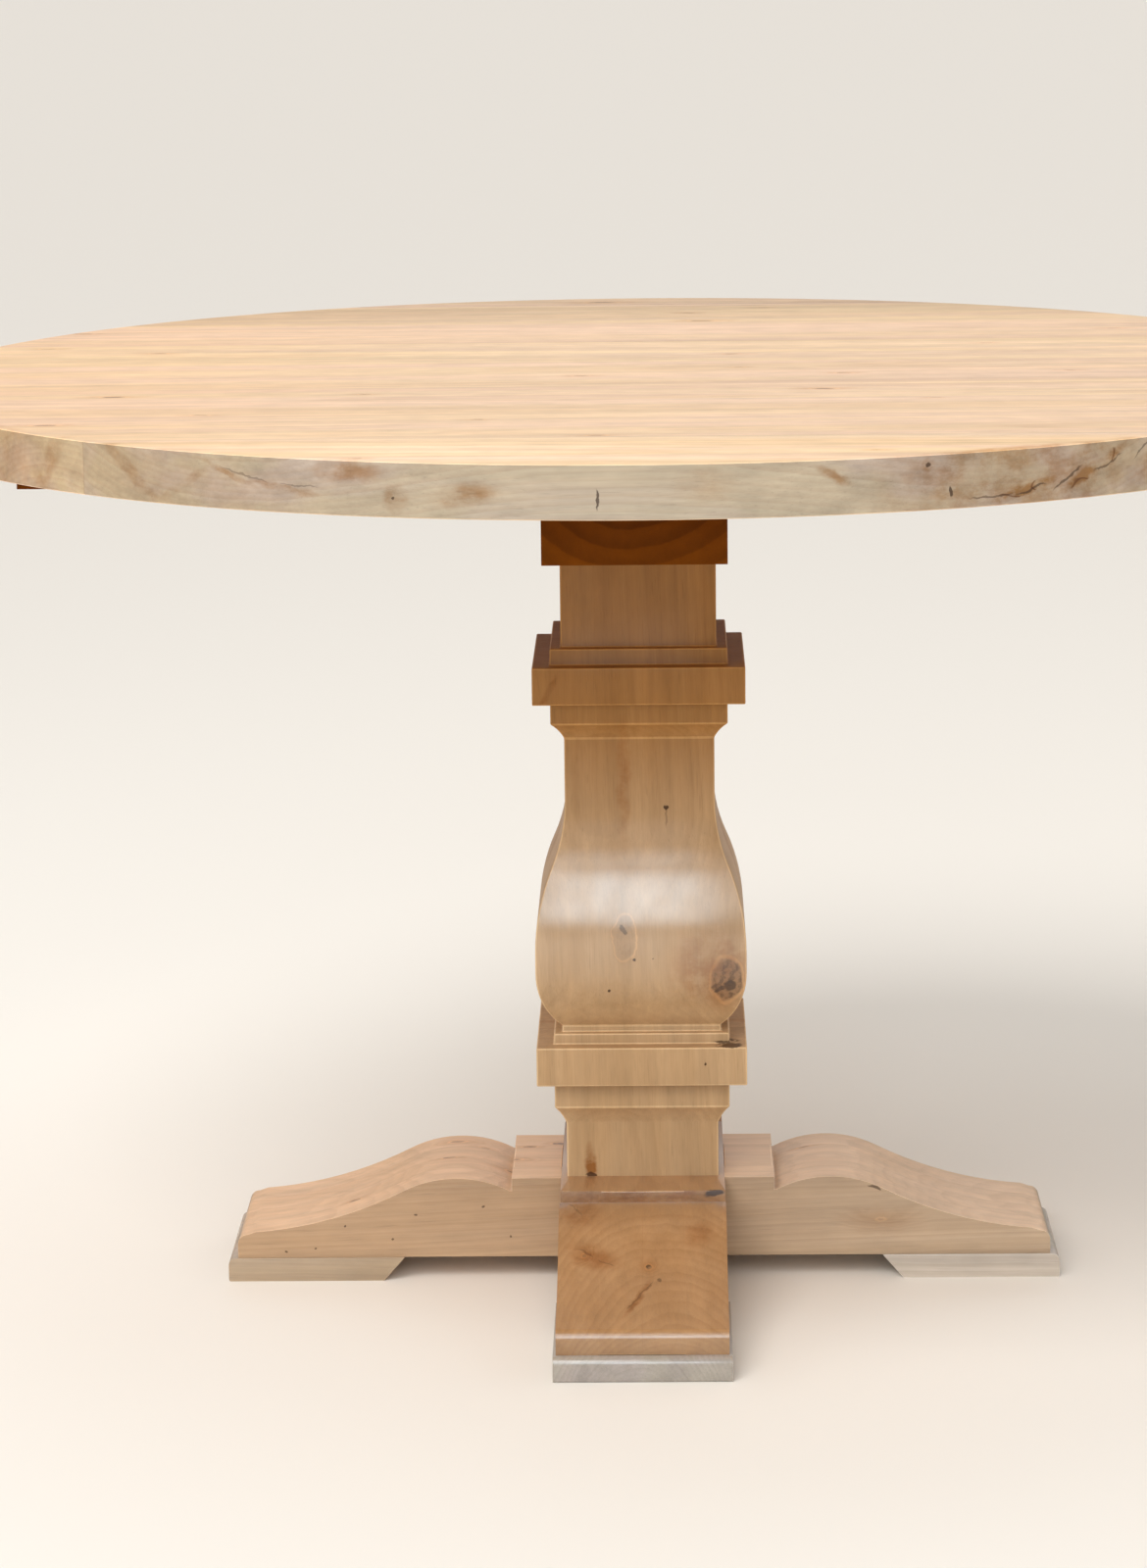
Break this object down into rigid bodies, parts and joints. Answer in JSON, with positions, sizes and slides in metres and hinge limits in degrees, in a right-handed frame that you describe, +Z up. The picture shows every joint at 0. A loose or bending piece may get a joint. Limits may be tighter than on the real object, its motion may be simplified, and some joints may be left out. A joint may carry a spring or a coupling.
{
  "type": "round pedestal table",
  "caption": "Round solid-wood pedestal table: edge-glued top on crossed bearers, square moulded column with collars, and crossed ogee feet on pads.",
  "frame": {"origin": "on the floor under the middle of the round top", "axes": "+Z up, +X to the right along the top's grain and one beam, +Y to the back along the other beam"},
  "size_m": [1.1998, 1.1998, 0.76],
  "materials": {
    "top_wood": "clear matt lacquer on pale straight-grained softwood",
    "bearer_wood": "clear matt lacquer on darker reddish wood",
    "column_wood": "clear satin lacquer on tan wood",
    "beam_wood": "clear satin lacquer on honey-coloured wood",
    "pad_wood": "clear satin lacquer on paler wood",
    "dowel_wood": "bare beech",
    "fixing_steel": "zinc plated"
  },
  "bodies": {
    "root": {"top_board_1": "top_wood", "top_board_2": "top_wood", "top_board_3": "top_wood", "top_board_4": "top_wood", "top_board_5": "top_wood", "top_board_6": "top_wood", "top_board_7": "top_wood", "top_board_8": "top_wood", "bearer_front_to_back": "bearer_wood", "bearer_left_to_right": "bearer_wood", "column_lamination_1": "column_wood", "column_lamination_2": "column_wood", "column_lamination_3": "column_wood", "column_lamination_4": "column_wood", "column_lamination_5": "column_wood", "beam_left_to_right_lamination_1": "beam_wood", "beam_left_to_right_lamination_2": "beam_wood", "beam_left_to_right_lamination_3": "beam_wood", "beam_left_to_right_lamination_4": "beam_wood", "beam_front_to_back_lamination_1": "beam_wood", "beam_front_to_back_lamination_2": "beam_wood", "beam_front_to_back_lamination_3": "beam_wood", "beam_front_to_back_lamination_4": "beam_wood", "foot_pad_right": "pad_wood", "foot_pad_back": "pad_wood", "foot_pad_left": "pad_wood", "foot_pad_front": "pad_wood", "column_base_dowels": "dowel_wood", "column_top_dowels": "dowel_wood", "tie_rod": "fixing_steel", "tie_rod_nuts": "fixing_steel", "tie_rod_washers": "fixing_steel", "top_screws": "fixing_steel", "top_screw_washers": "fixing_steel", "pad_screws": "fixing_steel"}
  },
  "joints": []
}
